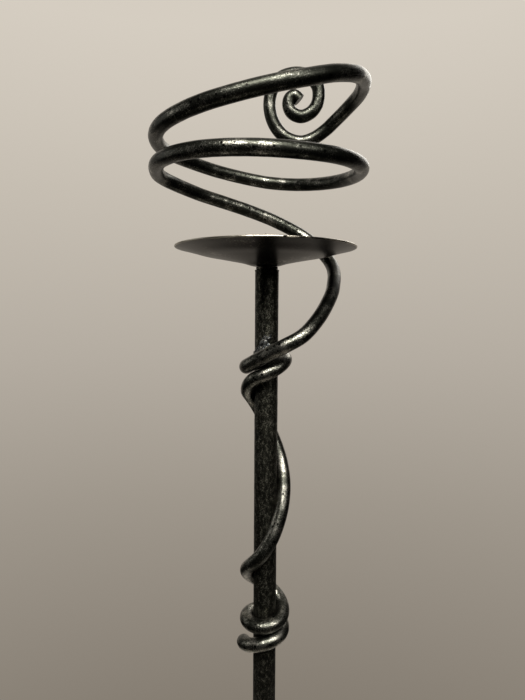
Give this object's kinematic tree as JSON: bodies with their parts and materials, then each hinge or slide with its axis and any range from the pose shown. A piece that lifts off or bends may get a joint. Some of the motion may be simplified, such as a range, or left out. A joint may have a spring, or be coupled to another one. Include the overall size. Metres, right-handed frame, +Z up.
{
  "type": "torchere candle stand",
  "caption": "Tall slim torchere candle stand: a tubular stem with a shallow drip pan and spike, a bar coiled round the candle and knotted on the stem, and scrolled bar legs.",
  "frame": {"origin": "on the floor under the stem's axis, midway between the feet", "axes": "+Z up along the stem, -Y the side in the picture, so the scroll above the pan is at the back, and the legs stand at 45 degrees to X and Y"},
  "size_m": [0.2544, 0.2544, 1.2193],
  "materials": {
    "bar": "satin",
    "stem": "satin",
    "pan": "satin",
    "neck": "satin",
    "weld": "matte",
    "zinc": "satin",
    "felt": "matte"
  },
  "bodies": {
    "root": {"cage_bar": "bar", "candle_spike": "pan", "drip_pan": "pan", "pan_plug": "neck", "upper_knot_weld": "weld", "lower_knot_weld": "weld", "upper_stem": "stem", "lower_stem": "stem", "upper_joint_plug": "zinc", "lower_joint_plug": "zinc", "joint_stud": "zinc", "stem_foot_plug": "zinc", "base_hub": "stem", "hub_plate": "stem", "base_washer": "zinc", "base_bolt": "zinc", "leg_1": "bar", "leg_weld_1_left": "weld", "leg_weld_1_right": "weld", "foot_disc_1": "stem", "foot_felt_1": "felt", "leg_2": "bar", "leg_weld_2_left": "weld", "leg_weld_2_right": "weld", "foot_disc_2": "stem", "foot_felt_2": "felt", "leg_3": "bar", "leg_weld_3_left": "weld", "leg_weld_3_right": "weld", "foot_disc_3": "stem", "foot_felt_3": "felt", "leg_4": "bar", "leg_weld_4_left": "weld", "leg_weld_4_right": "weld", "foot_disc_4": "stem", "foot_felt_4": "felt"}
  },
  "joints": []
}
